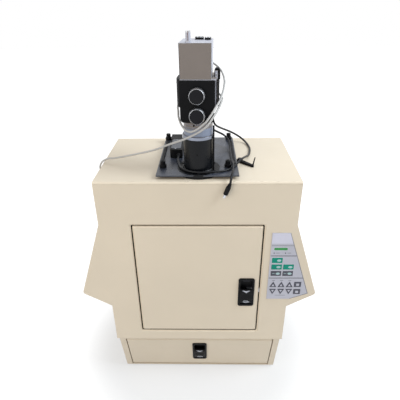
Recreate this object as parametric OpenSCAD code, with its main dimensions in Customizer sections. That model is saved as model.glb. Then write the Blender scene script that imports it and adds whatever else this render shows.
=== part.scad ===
// Gel documentation system: a light-tight imaging cabinet with a front door, a pull-out
// transilluminator drawer, a keypad on its right wing and a camera tower on its roof.
// X runs to the right, Y to the back and Z up; the origin is on the bench under the middle.

/* [Cabinet] */
// Width of the upper hood
hood_w = 466; // [450:1:480]
// Width across the tips of the two side wings, before their corners are rounded
wing_w = 603; // [590:1:610]
// Width of the body below the wings
body_w = 460; // [450:1:466]
// Width of the base that holds the drawer
base_w = 450; // [446:1:452]
// Depth from the front face to the back face
body_d = 298; // [290:1:310]
// Height of the roof above the bench
roof_z = 650; // [640:1:660]
// Height where each wing starts to flare out
neck_z = 540; // [530:1:560]
// Height of the wing tips
wing_z = 331; // [325:1:338]
// Height where the underside of each wing meets the body
waist_z = 288; // [284:1:292]
// Height of the line between the body and the base
line_z = 166; // [164:1:168]
// Radius of the wing tips
wing_r = 8; // [6:1:12]
// Wall thickness of the painted panels
wall = 4; // [3.5:0.5:4.5]
// Backward lean of the drawer front, in degrees
front_lean = 13.7; // [12:0.1:15]
// Height of the rubber feet
foot_h = 6; // [5:1:8]

/* [Door] */
// Width of the door
door_w = 309; // [300:1:312]
// Height of the door
door_h = 335; // [325:1:338]
// Height of the middle of the door
door_z = 367.5; // [365:0.5:370]
// Gap round the door
door_gap = 3; // [2.5:0.5:3]
// Thickness of the door
door_t = 14; // [13:0.5:14.5]
// Width of the bevel round the door and its opening
bevel = 3.5; // [2:0.5:3.5]

/* [Latches] */
// Width of a latch bezel
latch_w = 41; // [39:1:43]
// Height of a latch bezel
latch_h = 91; // [88:1:93]
// Distance of the door latch to the right of the middle
latch_x = 122.5; // [120:0.5:124]
// Height of the middle of the door latch
latch_z = 336; // [330:1:345]
// How far a bezel stands out of its panel
latch_proud = 3; // [2:0.5:3]

/* [Drawer] */
// Width of the drawer front
drawer_w = 412; // [408:1:413]
// Height of the drawer front along its lean
drawer_h = 147; // [144:1:148]
// Number of ultraviolet tubes under the glass
uv_count = 6; // [4:1:6]

/* [Keypad] */
// Distance of the keypad's left edge from the middle
pad_x = 176; // [175:1:178]
// Height of the keypad's lower edge
pad_z = 315; // [313:1:317]
// Thickness of the keypad's face plate
pad_t = 1.2; // [1:0.1:1.4]

/* [Camera tower] */
// Distance of the tower tube behind the front face
tower_in = 62; // [60:1:70]
// Distance of the tower tube to the right of the middle
tower_x = 3; // [0:1:5]
// Outer diameter of the tower tube
tube_d = 67.5; // [66:0.5:69]
// Turn of the lens housing and camera to the viewer's left, in degrees
tower_yaw = 3; // [0:0.5:4]
// Width of the black mounting plate
plate_w = 186; // [180:1:190]
// Depth of the black mounting plate
plate_d = 258; // [250:1:262]
// Diameter of a control knob
knob_d = 35; // [32:1:36]

/* [Hidden] */

$fn = 48;
cream = [0.86, 0.81, 0.71];
black = [0.09, 0.09, 0.10];
gray = [0.62, 0.60, 0.57];
steel = [0.75, 0.76, 0.78];

front_y = -body_d/2;
back_y = body_d/2;
roof_t = 5;
back_t = 3;
cut = 1;                    // how far a cutting shape runs past a face
seat = 0.3;                 // gap between pieces that move past each other
run = 0.05;                 // radial clearance of a running fit

// ---- helpers -------------------------------------------------------------

function unit(v) = v/norm(v);
function quarter(v) = [v.y, -v.x];

// Corner b of the path a-b-c, shifted so that both its edges move in by 1.
function miter(a, b, c) =
    let (n = unit(quarter(b - a)), m = unit(quarter(c - b))) (n + m)/(1 + n*m);

// A clockwise outline with every edge moved in by t.
function inset(p, t) =
    let (n = len(p)) [for (i = [0:n - 1]) p[i] + t*miter(p[(i + n - 1) % n], p[i], p[(i + 1) % n])];

// The arc of radius r that rounds the corner b of the path a-b-c.
function round_corner(a, b, c, r, steps = 8) =
    let (u = unit(a - b), v = unit(c - b), half = acos(u*v)/2,
        mid = b + unit(u + v)*r/sin(half),
        from = b + u*r/tan(half) - mid, to = b + v*r/tan(half) - mid,
        start = atan2(from.y, from.x), stop = atan2(to.y, to.x),
        turn = (stop - start + 540) % 360 - 180)
    [for (i = [0:steps]) let (w = start + turn*i/steps) mid + r*[cos(w), sin(w)]];

function reversed(p) = [for (i = [len(p) - 1:-1:0]) p[i]];
function mirrored(p) = [for (q = reversed(p)) [-q.x, q.y]];

// A 2D outline in X and Z stood up from the plane y, t deep towards the back.
module upright(y, t) {
    translate([0, y + t, 0]) rotate([90, 0, 0]) linear_extrude(t) children();
}

// A 2D outline in Y and Z run along X between x0 and x1.
module along_x(x0, x1) {
    translate([x0, 0, 0]) rotate([90, 0, 90]) linear_extrude(x1 - x0) children();
}

module rounded(w, h, r) {
    union() {
        square([w - 2*r, h], center = true);
        square([w, h - 2*r], center = true);
        for (x = [-1, 1], z = [-1, 1]) translate([x*(w/2 - r), z*(h/2 - r)]) circle(r, $fn = 24);
    }
}

module block(low, high) {
    translate(low) cube(high - low);
}

module both_sides() {
    children();
    mirror([1, 0, 0]) children();
}

// ---- cabinet panels ------------------------------------------------------

// Right half of the front outline from the top down, inset by t.
function side_line(t, top) =
    let (raw = [[hood_w/2, top], [hood_w/2, neck_z], [wing_w/2, wing_z],
                [body_w/2, waist_z], [body_w/2, line_z]],
        neck = raw[1] + t*miter(raw[0], raw[1], raw[2]),
        tip = raw[2] + t*miter(raw[1], raw[2], raw[3]),
        waist = raw[3] + t*miter(raw[2], raw[3], raw[4]))
    concat([raw[0] - [t, 0], neck], round_corner(neck, tip, waist, wing_r - t), [waist, raw[4] - [t, 0]]);

module front_outline(t) {
    half = side_line(t, roof_z - roof_t);
    polygon(concat(half, mirrored(half)));
}

opening_w = door_w + 2*door_gap;
opening_h = door_h + 2*door_gap;

// A frustum behind the plane y that grows or shrinks by grow towards the front.
module bevelled(y, w, h, depth, grow, r) {
    translate([0, y + depth, 0]) rotate([90, 0, 0])
        linear_extrude(depth, scale = [(w + 2*grow)/w, (h + 2*grow)/h]) rounded(w, h, r);
}

module front_panel() {
    color(cream) difference() {
        upright(front_y, wall) front_outline(0);
        translate([0, 0, door_z]) {
            upright(front_y - cut, wall + 2*cut) rounded(opening_w, opening_h, 4);
            bevelled(front_y - 0.01, opening_w, opening_h, bevel + 0.01, bevel, 4);
        }
        upright(front_y - cut, wall + 2*cut) polygon(inset(pad_line, pad_rim));
    }
}

module side_shells() {
    color(cream) both_sides()
        upright(front_y + wall, body_d - wall - back_t)
            polygon(concat(side_line(0, roof_z - roof_t), reversed(side_line(wall, roof_z - roof_t))));
}

aperture_r = 31;
module roof_panel() {
    color(cream) difference() {
        along_x(-hood_w/2, hood_w/2) {
            translate([front_y + roof_t, roof_z - roof_t]) square([body_d - 2*roof_t, roof_t]);
            for (y = [front_y + roof_t, back_y - roof_t]) intersection() {
                translate([y, roof_z - roof_t]) circle(roof_t);
                translate([y - roof_t, roof_z - roof_t]) square([2*roof_t, roof_t]);
            }
        }
        tower_axis() translate([0, 0, -roof_t - cut]) cylinder(r = aperture_r, h = roof_t + 2*cut);
    }
}

vent_rows = 7;
inlet_at = [-165, 215];     // middle of the mains inlet on the back, X and Z
inlet_size = [84, 34];
module back_panel() {
    color(cream) difference() {
        upright(back_y - back_t, back_t) front_outline(0);
        for (x = [-130, 130], row = [0:vent_rows - 1])
            translate([x, 0, 540 + 13*row]) upright(back_y - back_t - cut, back_t + 2*cut)
                rounded(90, 4.5, 2.2);
        translate([inlet_at.x, 0, inlet_at.y]) upright(back_y - back_t - cut, back_t + 2*cut)
            square(inlet_size - [8, 8], center = true);
    }
}

// ---- base ----------------------------------------------------------------

base_recess = 4;            // the base starts this far behind the front face
floor_t = 3;
drawer_top = 11.5;          // from the line down to the drawer front, along the lean
drawer_gap = 2.5;

// The leaning front plane: its Y at height z.
function lean_y(z) = front_y + base_recess + (line_z - z)*tan(front_lean);
function lean_z(s) = line_z - s*cos(front_lean);

drawer_hi = lean_z(drawer_top);
drawer_lo = lean_z(drawer_top + drawer_h);
skin = 4;                   // thickness of the drawer front, measured along Y

module base_shell() {
    color(cream) difference() {
        along_x(-base_w/2, base_w/2)
            polygon([[lean_y(line_z), line_z], [lean_y(foot_h), foot_h],
                [back_y, foot_h], [back_y, line_z]]);
        along_x(-base_w/2 + wall, base_w/2 - wall)
            polygon([[lean_y(line_z + cut) + wall, line_z + cut],
                [lean_y(foot_h + floor_t) + wall, foot_h + floor_t],
                [back_y - back_t, foot_h + floor_t], [back_y - back_t, line_z + cut]]);
        block([-drawer_w/2 - drawer_gap, front_y - cut, drawer_lo - drawer_gap],
            [drawer_w/2 + drawer_gap, lean_y(foot_h) + 2*wall, drawer_hi + drawer_gap]);
    }
}

stage_y = -8;               // middle of the glass, front to back
module chamber_floor() {
    color(black) difference() {
        block([-body_w/2 + wall, front_y + wall, line_z], [body_w/2 - wall, back_y - back_t, line_z + 3]);
        translate([0, stage_y, line_z]) cube([300, 224, 20], center = true);
    }
}

module feet() {
    color(black) both_sides() for (y = [front_y + 75, back_y - 30])
        translate([190, y, 0]) cylinder(r = 14, h = foot_h);
}

surround_out = 18;          // outer edge of the door surround beyond the opening
surround_in = 28;           // inner edge of its stop, inside the opening
stop_y = front_y + door_t + 5.6;
module door_surround() {
    color(black) translate([0, 0, door_z]) difference() {
        upright(front_y + wall, stop_y + 2 - front_y - wall)
            square([opening_w, opening_h] + 2*[surround_out, surround_out], center = true);
        upright(front_y, stop_y - front_y)
            square([opening_w, opening_h] + 2*[surround_out - 4, surround_out - 4], center = true);
        upright(front_y, 40)
            rounded(opening_w - 2*surround_in, opening_h - 2*surround_in, 6);
    }
}

module epi_lamps() {
    both_sides() {
        color("white") upright(front_y + wall, body_d - wall - back_t) difference() {
            translate([248, 314]) square([14, 48]);
            translate([248 - cut, 316]) square([14 - 2 + cut, 44]);
        }
        color("white") translate([253, -113, 338]) rotate([-90, 0, 0]) cylinder(r = 5.5, h = 226);
        for (y = [-122, 112]) color(gray) block([246, y, 315], [261, y + 10, 350]);
    }
}

inlet_proud = latch_proud;
module power_inlet() {
    color(black) translate([inlet_at.x, 0, inlet_at.y]) difference() {
        union() {
            upright(back_y, inlet_proud) rounded(inlet_size.x, inlet_size.y, 3);
            upright(back_y - 28, 28) square(inlet_size - [8, 8], center = true);
        }
        translate([-19, 0, 0]) upright(back_y - 18, 30) difference() {
            rounded(27, 20, 2);
            for (x = [-1, 1]) translate([x*13.5, -10]) rotate(45) square([6, 6], center = true);
        }
        translate([switch_x, 0, 0]) upright(back_y - 12, 30) square([18, 25], center = true);
        translate([switch_x, back_y - 3, 0]) rotate([0, 90, 0])
            cylinder(r = 1.5 + run, h = 22, center = true);
    }
    color("silver") translate([inlet_at.x - 19, 0, inlet_at.y]) for (p = [[-7, -2], [0, 3], [7, -2]])
        translate([p.x, 0, p.y]) upright(back_y - 18, 14) square([2, 4], center = true);
}

switch_x = 22;
switch_tilt = 8;            // the rocker rests tilted this far, and tips as far the other way
module power_switch() {
    color(black) translate([inlet_at.x + switch_x, back_y - 3, inlet_at.y]) rotate([-switch_tilt, 0, 0]) {
        along_x(-8.6, 8.6) polygon([[-6, 0], [-1, -10.6], [4, -11], [2, 0], [4, 11], [-1, 10.6]]);
        rotate([0, 90, 0]) cylinder(r = 1.5, h = 21, center = true);
    }
}

// Middles of the four thumb screws of the mounting plate, measured from the front face.
screw_at = [[-80, 62], [71, 64], [-84, 256], [82, 258]];
module screws() {
    color(black) {
        for (p = screw_at) translate([p.x, front_y + p.y, plate_z]) {
            cylinder(r = 8, h = 7);
            translate([0, 0, 7]) cylinder(r = 6, h = 9);
        }
        translate(concat(lever_at, [roof_z])) {
            cylinder(r = 3, h = 7.5);
            translate([0, 0, 7]) cylinder(r = 5.5, h = 2.4);
        }
    }
    color("silver") both_sides() for (z = [200, 420, 620])
        translate([215, back_y, z]) rotate([-90, 0, 0]) cylinder(r = 4, h = 2.4);
}

// ---- door ----------------------------------------------------------------

hinge_in = 9;               // hinge axis from the door's left edge and from its front face
hinge_x = -door_w/2 + hinge_in;
hinge_y = front_y + hinge_in;
pin_r = 3;
door_skin = 4;
pocket = [hinge_x + 16, door_w/2 - 12];
tongue_z = 3;               // middle of the tongue above the middle of its latch

module hinge_pivots() {
    color("silver") for (end = [-1, 1]) translate([hinge_x, 0, door_z + end*opening_h/2]) {
        difference() {
            block([-6.5, front_y + wall, min(0, end*13.9)], [6.5, front_y + 18, max(0, end*13.9)]);
            translate([0, front_y + wall + 7, end*11]) rotate([90, 0, 0]) cylinder(r = 1.6, h = 20);
        }
        translate([0, hinge_y, end > 0 ? -14 : 0]) cylinder(r = pin_r, h = 14);
    }
}

module door_panel() {
    color(cream) difference() {
        translate([0, 0, door_z]) {
            upright(front_y + bevel, door_t - bevel) rounded(door_w, door_h, 3);
            bevelled(front_y, door_w, door_h, bevel, -bevel, 3);
        }
        block([pocket[0], front_y + door_skin, door_z - door_h/2 + 14],
            [pocket[1], front_y + door_t + cut, door_z + door_h/2 - 14]);
        for (end = [-1, 1]) translate([hinge_x, hinge_y, door_z + end*(door_h/2 - 6)])
            cylinder(r = pin_r + run, h = 14, center = true);
        translate([latch_x, 0, latch_z]) {
            upright(front_y - cut, 10) square([cup_w, cup_h], center = true);
            block([10, front_y + tongue_y[0] - seat, tongue_z - 6 - seat],
                [60, front_y + tongue_y[1] + seat, tongue_z + 6 + seat]);
        }
    }
}

module door_liner() {
    color(black) block([pocket[0], front_y + door_t - 1.5, door_z - door_h/2 + 14],
        [pocket[1], front_y + door_t, door_z + door_h/2 - 14]);
}

module door_seal() {
    color(black) translate([0, 0, door_z]) upright(front_y + door_t, 4.5) difference() {
        square([door_w - 28, door_h - 28], center = true);
        square([door_w - 48, door_h - 48], center = true);
    }
}

// ---- paddle latch, used on the door and on the drawer --------------------
// The origin is the middle of the bezel on the panel's face, -Y points out.

cup_w = latch_w - 5;
cup_h = latch_h - 5;
cup_d = 12;
well_w = latch_w - 10;
well_h = latch_h - 12;
tongue_y = [4.2, 9.8];
paddle_pivot = -33;
paddle_top = 9;
paddle_lift = 30;
tongue_travel = 6;

module latch_bezel(slot) {
    color(black) difference() {
        union() {
            upright(-latch_proud, 1) rounded(latch_w - 2, latch_h - 2, 5);
            upright(1 - latch_proud, latch_proud - 1) rounded(latch_w, latch_h, 6);
            upright(0, cup_d) square([cup_w, cup_h], center = true);
        }
        upright(-latch_proud - cut, latch_proud + cut + cup_d - 2) rounded(well_w, well_h, 3);
        translate([0, 0, paddle_pivot]) rotate([0, 90, 0])
            cylinder(r = 2 + run, h = well_w + 4, center = true);
        block(slot[0], slot[1]);
    }
}

module latch_paddle() {
    color(black) difference() {
        union() {
            along_x(-well_w/2 + seat, well_w/2 - seat)
                polygon([[-3.2, paddle_pivot], [-4.4, -14], [-4.6, 2], [-3.6, paddle_top - 2],
                    [-1.6, paddle_top], [2.6, paddle_top], [2.6, paddle_pivot]]);
            translate([0, 0, paddle_pivot]) rotate([0, 90, 0]) {
                cylinder(r = 3.2, h = well_w - 2*seat, center = true);
                cylinder(r = 2, h = well_w + 3.4, center = true);
            }
        }
        along_x(-well_w/2 + 4, well_w/2 - 4) polygon([[0.6, -26], [0.6, 5], [6, 5], [6, -26]]);
    }
}

module door_latch_place() translate([latch_x, front_y, latch_z]) children();

door_slot = [[8, tongue_y[0] - seat, tongue_z - 6 - seat], [30, tongue_y[1] + seat, tongue_z + 6 + seat]];
module door_latch_bezel() door_latch_place() latch_bezel(door_slot);
module door_latch_paddle() door_latch_place() latch_paddle();
module door_latch_tongue() {
    reach = door_w/2 + door_gap - 0.5 - latch_x;
    color("silver") door_latch_place() difference() {
        block([2, tongue_y[0], tongue_z - 6], [reach, tongue_y[1], tongue_z + 6]);
        translate([reach, tongue_y[0], 0]) rotate([0, 0, 30]) translate([-1, -8, -20]) cube([8, 8, 40]);
    }
}

// ---- drawer --------------------------------------------------------------

tray_x = 190;
tray_back = back_y - 30;
tray_z = [14, 112];
front_depth = 16;           // the hollow drawer front, from its face to the tray behind it
stage_z = 151;

module on_lean() translate([0, front_y + base_recess, line_z]) rotate([front_lean, 0, 0]) children();

rail_z = 80;
module drawer_rails() {
    color("silver") both_sides() {
        difference() {
            block([208 - 13, front_y + 58, rail_z - 17], [210, back_y - 12, rail_z + 17]);
            block([190, front_y + 50, rail_z - 15], [208, back_y, rail_z + 15]);
        }
        for (y = [front_y + 80, back_y - 60])
            block([210, y, rail_z - 12], [base_w/2 - wall, y + 24, rail_z + 12]);
    }
}

module drawer_runners() {
    color("silver") both_sides() difference() {
        block([tray_x, front_y + 52, rail_z - 14.7], [tray_x + 16, tray_back, rail_z + 14.7]);
        block([tray_x + 3, front_y, rail_z - 11], [tray_x + 13, back_y, rail_z + 11]);
    }
}

// Section through the drawer front in Y and Z, with bevelled long edges.
module drawer_front() {
    edge = 4;
    top = drawer_hi;
    low = drawer_lo;
    slot = drawer_slot_s;
    color(cream) difference() {
        along_x(-drawer_w/2, drawer_w/2)
            polygon([[lean_y(low) + edge, low], [lean_y(low + edge), low + edge],
                [lean_y(top - edge), top - edge], [lean_y(top) + edge, top],
                [lean_y(top) + front_depth, top], [lean_y(top - 5) + front_depth, top - 5],
                [lean_y(top - 5) + skin, top - 5], [lean_y(low + 3) + skin, low + 3],
                [lean_y(low + 3) + front_depth, low + 3], [lean_y(low) + front_depth, low]]);
        drawer_latch_place() {
            upright(-cut, 10) square([cup_w, cup_h], center = true);
            block([-6 - seat, tongue_y[0] - seat, -slot], [6 + seat, tongue_y[1] + seat, -cup_h/2 + cut]);
        }
    }
}

module tray_profile(z0, z1, t) {
    polygon([[lean_y(z0) + front_depth + t, z0], [lean_y(z1) + front_depth + t, z1],
        [tray_back - t, z1], [tray_back - t, z0]]);
}

module drawer_tray() {
    color("silver") difference() {
        along_x(-tray_x, tray_x) tray_profile(tray_z[0], tray_z[1], 0);
        along_x(-tray_x + 2, tray_x - 2) tray_profile(tray_z[0] + 2, tray_z[1] + cut, 2);
    }
}

glass = [262, 200];
glass_seat = stage_z - 3;   // the glass lies in a rebate and stands 1 mm out of the frame
glass_ledge = 5;

// Box over the tubes: a top with the glass in its rebate, and a rim round the open bottom.
module stage_frame() {
    color([0.25, 0.26, 0.28]) difference() {
        along_x(-tray_x, tray_x) tray_profile(tray_z[1], stage_z, 0);
        along_x(-tray_x + 3, tray_x - 3) tray_profile(tray_z[1] + 3, glass_seat - 2, 3);
        translate([0, stage_y, 0]) {
            linear_extrude(tray_z[1] + 4) square([320, 190], center = true);
            translate([0, 0, glass_seat - 3]) linear_extrude(10)
                square(glass - 2*[glass_ledge, glass_ledge], center = true);
            translate([0, 0, glass_seat]) linear_extrude(10) square(glass, center = true);
        }
    }
}

module filter_glass() {
    color([0.18, 0.12, 0.30]) translate([0, stage_y, glass_seat]) linear_extrude(4) square(glass, center = true);
}

uv_r = 7.75;
uv_pitch = 30;
uv_z = 131;
module uv_tubes() {
    color("white") for (i = [0:uv_count - 1])
        translate([0, stage_y + (i - (uv_count - 1)/2)*uv_pitch, uv_z]) rotate([0, 90, 0]) {
            cylinder(r = uv_r, h = 310, center = true);
            cylinder(r = uv_r - 1, h = 319.4, center = true);
        }
}

module uv_reflector() {
    low = [160, stage_y - 96, tray_z[1] + 3];
    color("silver") {
        block([-low.x, low.y, low.z], [low.x, stage_y + 96, low.z + 2]);
        both_sides() block(low, [low.x + 4, stage_y + 96, uv_z + 9]);
    }
}

module ballasts() {
    color(gray) both_sides() block([40, -50, tray_z[0] + 2], [165, 10, tray_z[0] + 44]);
}

drawer_latch_s = 77;        // middle of the drawer latch below the line, along the lean
drawer_slot_s = drawer_top + drawer_h + 2 - drawer_latch_s;
module drawer_latch_place() on_lean() translate([0, 0, -drawer_latch_s]) children();

drawer_slot = [[-6 - seat, tongue_y[0] - seat, -60], [6 + seat, tongue_y[1] + seat, -2]];
module drawer_latch_bezel() drawer_latch_place() latch_bezel(drawer_slot);
module drawer_latch_paddle() drawer_latch_place() latch_paddle();
module drawer_latch_tongue() {
    reach = drawer_top + drawer_h + 1.5 - drawer_latch_s;
    color("silver") drawer_latch_place() block([-6, tongue_y[0], -reach], [6, tongue_y[1], -10]);
}

// ---- keypad --------------------------------------------------------------

// Outline of the keypad, clockwise from its lower left corner.
pad_line = [for (p = [[0, 0], [0, 203], [44, 203], [105, 18], [60, 0]]) p + [pad_x, pad_z]];
pad_rim = 2.4;              // width of the plate glued down round its window
key_up = 0.5;               // how far a key stands out of the plate
key_travel = 0.5;
key_lip = 0.8;              // lip that holds a key behind the plate

col_w = 29.2;
row_h = 20.2;
key_size = [25.6, 15.2];
wide_keys = [[0, 2], [0, 1], [1, 1], [0, 0], [1, 0]];
arrow_pitch = 20.7;
arrow_size = 17;
arrow_rows = [24.5, 48];    // middles of the two rows of small keys

module wide_key(i, grow) translate([pad_x + 18, pad_z + 83.2] + [wide_keys[i].x*col_w, wide_keys[i].y*row_h])
    square(key_size + 2*[grow, grow], center = true);

module arrow_key(i, up, grow) translate([pad_x + 13.7 + i*arrow_pitch, pad_z + arrow_rows[up]]) {
    h = arrow_size/2;
    s = 2*up - 1;
    if (i == 3) square([arrow_size, arrow_size - 1] + 2*[grow, grow], center = true);
    else polygon([[-h - 1.6*grow, -s*(h + grow)], [0, s*(h + 1.8*grow)], [h + 1.6*grow, -s*(h + grow)]]);
}

module all_keys(grow) {
    for (i = [0:4]) wide_key(i, grow);
    for (i = [0:3], up = [0, 1]) arrow_key(i, up, grow);
}

module keypad_plate() {
    color([0.72, 0.72, 0.76]) difference() {
        union() {
            upright(front_y - pad_t, pad_t) polygon(pad_line);
            upright(front_y, wall - 1) polygon(inset(pad_line, pad_rim + seat));
        }
        upright(front_y, 2) polygon(inset(pad_line, pad_rim + 1.1));
        upright(front_y - pad_t - cut, pad_t + 2*cut) all_keys(seat);
    }
}

module key_body() {
    upright(front_y - pad_t - key_up, pad_t + key_up + 0.2) children(0);
    upright(front_y + 0.2, 0.8) children(1);
}

teal = [0.0, 0.55, 0.48];
slate = [0.42, 0.42, 0.45];
module wide_key_at(i) color(i < 3 ? teal : slate) key_body() { wide_key(i, 0); wide_key(i, key_lip); }
module arrow_key_at(i, up) color(slate) key_body() { arrow_key(i, up, 0); arrow_key(i, up, key_lip); }

module key_uv_lamp() wide_key_at(0);
module key_white_lamp() wide_key_at(1);
module key_prep() wide_key_at(2);
module key_lock() wide_key_at(3);
module key_mute() wide_key_at(4);
module key_zoom_in() arrow_key_at(0, 1);
module key_focus_in() arrow_key_at(1, 1);
module key_iris_open() arrow_key_at(2, 1);
module key_freeze() arrow_key_at(3, 1);
module key_zoom_out() arrow_key_at(0, 0);
module key_focus_out() arrow_key_at(1, 0);
module key_iris_close() arrow_key_at(2, 0);
module key_print() arrow_key_at(3, 0);

// ---- camera tower --------------------------------------------------------

plate_lift = 7;             // underside of the plate above the roof
plate_t = 3;
plate_z = roof_z + plate_lift + plate_t;
plate_front = front_y + 14;
tube_r = tube_d/2;
flange_r = 49;
flange_t = 11;
tube_top = roof_z + 88;
housing_z = [roof_z + 127.5, roof_z + 213];
face = [70.5, 10];          // control plate on the front of the lens housing
neck = [66, 72];            // part of the housing round the lens
case = [88, 78];            // wider gearbox above it
case_z = roof_z + 156;
camera = [63, 90];
camera_foot = 3.5;
camera_z = roof_z + 282;

module tower_axis() translate([tower_x, front_y + tower_in, roof_z]) children();

module mounting_plate() {
    color(black) difference() {
        union() {
            block([-plate_w/2 + 1, plate_front, plate_z - plate_t], [plate_w/2 + 1, plate_front + plate_d, plate_z]);
            for (p = screw_at) translate([p.x, front_y + p.y, roof_z]) cylinder(r = 7, h = plate_lift);
        }
        tower_axis() cylinder(r = flange_r + 0.2, h = 40);
    }
}

module plate_fittings() {
    color(black) {
        for (x = [-85, 87]) block([x - 3, plate_front + 60, plate_z], [x + 3, plate_front + 215, plate_z + 5]);
        hull() for (y = [front_y + 130, front_y + 186])
            translate([-56, y, plate_z]) cylinder(r = 13, h = 22, $fn = 32);
        block([-56, front_y + 117, plate_z], [-38, front_y + 199, plate_z + 22]);
        translate([-47, front_y + 111, plate_z + 9]) rotate([-90, 0, 0]) cylinder(r = 4, h = 7);
    }
    color(gray) block([-74, front_y + 222, plate_z], [-46, front_y + 262, plate_z + 13]);
    color(steel) translate([tower_x + 34, front_y + 46, roof_z + flange_t]) cylinder(r = 2, h = 103);
}

module tower_tube() {
    color(black) tower_axis() difference() {
        union() {
            cylinder(r = flange_r, h = flange_t);
            cylinder(r = tube_r, h = tube_top - roof_z);
        }
        translate([0, 0, -cut]) cylinder(r = tube_r - 3, h = 200);
    }
}

module zoom_lens() {
    tower_axis() color(gray) difference() {
        rotate_extrude() polygon([[16, 40], [27, 40], [27, 76], [tube_r - 3.1, 78], [tube_r - 3.1, 88],
            [tube_r + 1.5, 88], [tube_r + 1.5, 91.5], [32, 91.5], [32, 124], [28, 127.5], [16, 127.5]]);
        rotate([0, 0, -105]) translate([26, 0, 118]) rotate([0, 90, 0]) cylinder(r = 2, h = 10);
    }
}

// Housing and camera stand in frames turned about the middles of their front faces.
module housing_frame() translate([tower_x - 1, front_y + 20, 0]) rotate([0, 0, -tower_yaw]) children();
module camera_frame() translate([tower_x - 3.5, front_y + 21.5, 0]) rotate([0, 0, -tower_yaw]) children();

knob_z = [roof_z + 184, roof_z + 143.5];
strip_y = [17, 26];          // the bright strip stands in a step of the gearbox case
lug_x = 40;                  // round-topped lug beside the camera's foot
lug_y = [strip_y[1], strip_y[1] + 16];
lug_r = 6;
gland_x = [8, 22];
module lens_housing() {
    height = housing_z[1] - housing_z[0];
    color(black) housing_frame() difference() {
        union() {
            upright(0, face.y) translate([0, housing_z[0]]) {
                translate([0, height/2]) rounded(face.x, height, 8);
                translate([-face.x/2, height/2]) square([face.x, height/2]);
            }
            block([-neck.x/2, face.y - 1, housing_z[0]], [neck.x/2, neck.y, case_z + 1]);
            translate([0, face.y - 4 + case.y/2, case_z]) linear_extrude(housing_z[1] - case_z)
                rounded(case.x, case.y - 8, 20);
            translate([lug_x, 0, 0]) upright(lug_y[0], lug_y[1] - lug_y[0]) {
                translate([-lug_r, housing_z[1] - 2]) square([2*lug_r, 16]);
                translate([0, housing_z[1] + 14]) circle(lug_r);
            }
            for (z = knob_z) translate([0, 0, z]) rotate([90, 0, 0]) cylinder(r = knob_d/2 - 3, h = 3);
            for (x = gland_x) translate([x, neck.y, 790]) rotate([-90, 0, 0]) cylinder(r = 5, h = 6);
        }
        for (z = knob_z) translate([0, 8, z]) rotate([90, 0, 0]) cylinder(r = 3 + run, h = 20);
        block([face.x/2 + 0.5, face.y - 5, case_z], [60, strip_y[1], housing_z[1] + 1]);
    }
}

knob_grips = 24;
module knob() {
    difference() {
        union() {
            translate([0, -3.3, 0]) rotate([90, 0, 0]) cylinder(r = knob_d/2, h = 8.7);
            translate([0, -12, 0]) rotate([90, 0, 0]) cylinder(r = knob_d/2 - 1.5, h = 1.2);
            translate([0, 7.5, 0]) rotate([90, 0, 0]) cylinder(r = 3, h = 12);
        }
        for (i = [0:knob_grips - 1]) rotate([0, i*360/knob_grips, 0])
            translate([knob_d/2 + 0.9, -3, 0]) rotate([90, 0, 0]) cylinder(r = 1.6, h = 9, $fn = 16);
    }
}

module zoom_knob() color(black) housing_frame() translate([0, 0, knob_z[0]]) knob();
module focus_knob() color(black) housing_frame() translate([0, 0, knob_z[1]]) knob();

// The camera's case on its foot plate, with a strip down the right side of the gearbox.
module camera_body() {
    low = housing_z[1] + camera_foot;
    color(gray) {
        housing_frame() {
            difference() {
                block([-face.x/2 + 1, 3, housing_z[1]], [face.x/2 + 4, 74, low]);
                block([lug_x - lug_r, lug_y[0], housing_z[1] - cut], [lug_x + lug_r, lug_y[1], low + cut]);
            }
            block([face.x/2 + 0.5, strip_y[0], case_z], [face.x/2 + 6, strip_y[1], housing_z[1] + 16]);
        }
        camera_frame() difference() {
            translate([0, camera.y/2, low - 1]) linear_extrude(camera_z - low + 1)
                rounded(camera.x, camera.y, 2);
            for (s = [-1, 1], z = [camera_z - 12, low + 14], y = [10, camera.y - 10])
                translate([s*camera.x/2, y, z]) rotate([0, 90, 0]) cylinder(r = 2.2, h = 1.6, center = true);
        }
    }
}

// On top an aerial socket and two round sockets, on the back the video socket.
module camera_connectors() {
    camera_frame() {
        color(steel) translate([-14, 13, camera_z]) {
            cylinder(r = 6, h = 3);
            cylinder(r = 4.6, h = 21);
        }
        color(black) for (p = [[4, 72, 9], [22, 62, 6.5]]) translate([p.x, p.y, camera_z]) difference() {
            cylinder(r = p.z, h = 5);
            translate([0, 0, 1.5]) cylinder(r = p.z - 1.8, h = 10);
        }
        color(steel) translate([12, camera.y, 890]) rotate([-90, 0, 0]) {
            cylinder(r = 7, h = 3);
            cylinder(r = 5, h = 12);
        }
    }
}

lever_at = [103, front_y + 116];
module clamp_lever() {
    tip = [131, front_y + 84];
    color(black) translate([0, 0, roof_z + 0.4]) difference() {
        union() {
            translate(lever_at) cylinder(r = 7.5, h = 6);
            hull() {
                translate(lever_at) cylinder(r = 5, h = 5, $fn = 32);
                translate(tip) cylinder(r = 3, h = 5, $fn = 32);
            }
            hull() {
                translate(tip) cylinder(r = 1.5, h = 4, $fn = 16);
                translate(concat(tip + [5, 4], [22])) sphere(r = 1.2, $fn = 16);
            }
        }
        translate(concat(lever_at, [-cut])) cylinder(r = 3 + run, h = 10);
    }
}

// ---- cords ---------------------------------------------------------------

// Ring of corner points round each route point, turned square to the route.
// The first side direction is carried along the route without twisting.
function tangents(p) =
    let (n = len(p)) [for (i = [0:n - 1]) unit(p[min(i + 1, n - 1)] - p[max(i - 1, 0)])];
function square_to(v, t) = unit(v - (v*t)*t);
function carried(t, v) =
    [for (i = 0, s = square_to(v, t[0]); i < len(t); i = i + 1,
        s = i < len(t) ? square_to(s, t[i]) : s) s];

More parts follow.
